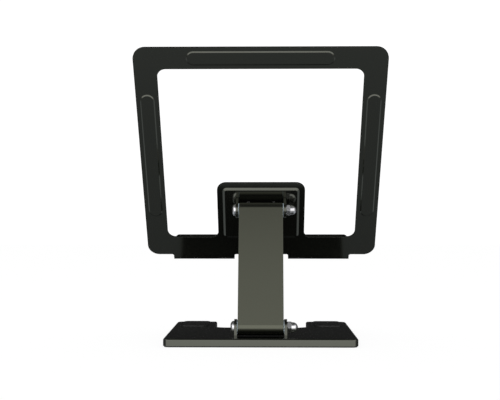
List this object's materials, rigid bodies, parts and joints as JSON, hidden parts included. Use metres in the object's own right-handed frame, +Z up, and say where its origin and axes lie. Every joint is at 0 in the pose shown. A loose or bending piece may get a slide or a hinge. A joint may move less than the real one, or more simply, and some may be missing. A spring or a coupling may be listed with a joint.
{
  "type": "tablet stand",
  "caption": "Folding tablet stand: weighted base, friction-hinged arm and an open tilting frame with hooks that catch the tablet's lower edge.",
  "frame": {"origin": "centre of the base's underside, on the surface the stand rests on", "axes": "+Z up, +X to the user's right, the user sits on the -Y side and the tablet faces -Y"},
  "size_m": [0.1806, 0.134, 0.2124],
  "materials": {
    "black_lacquer": "gloss black baked lacquer on steel, faint orange peel",
    "black_anodised": "dark lacquered aluminium bar, satin gloss",
    "polished_steel": "bright plated steel fasteners",
    "plain_steel": "plain steel fixings",
    "silicone": "matt black silicone",
    "nylon": "grey nylon"
  },
  "bodies": {
    "base": {"base_plate": "black_lacquer", "base_foot_pad": "silicone", "base_rest_pad_left": "silicone", "base_rest_pad_right": "silicone", "base_bracket": "black_lacquer", "base_bracket_screws": "plain_steel", "lower_pivot_bolt": "polished_steel", "lower_cap_nut": "polished_steel"},
    "arm": {"arm": "black_anodised", "lower_bush_left": "nylon", "lower_bush_right": "nylon", "upper_bush_left": "nylon", "upper_bush_right": "nylon"},
    "panel": {"panel_frame": "black_lacquer", "panel_bracket": "black_lacquer", "panel_bracket_rivets": "plain_steel", "upper_pivot_bolt": "polished_steel", "upper_cap_nut": "polished_steel", "panel_strip_top": "silicone", "panel_strip_left": "silicone", "panel_strip_right": "silicone", "tongue_pad": "silicone", "hook_pad_left": "silicone", "hook_pad_right": "silicone"}
  },
  "joints": [
    {"name": "arm_fold", "type": "hinge", "parent": "base", "child": "arm", "pos_m": [0, 0.042, 0.0125], "axis": [1, 0, 0], "range_deg": [-21, 30]},
    {"name": "panel_tilt", "type": "hinge", "parent": "arm", "child": "panel", "pos_m": [0, 0.00903, 0.09839], "axis": [1, 0, 0], "range_deg": [-70, 25]}
  ]
}
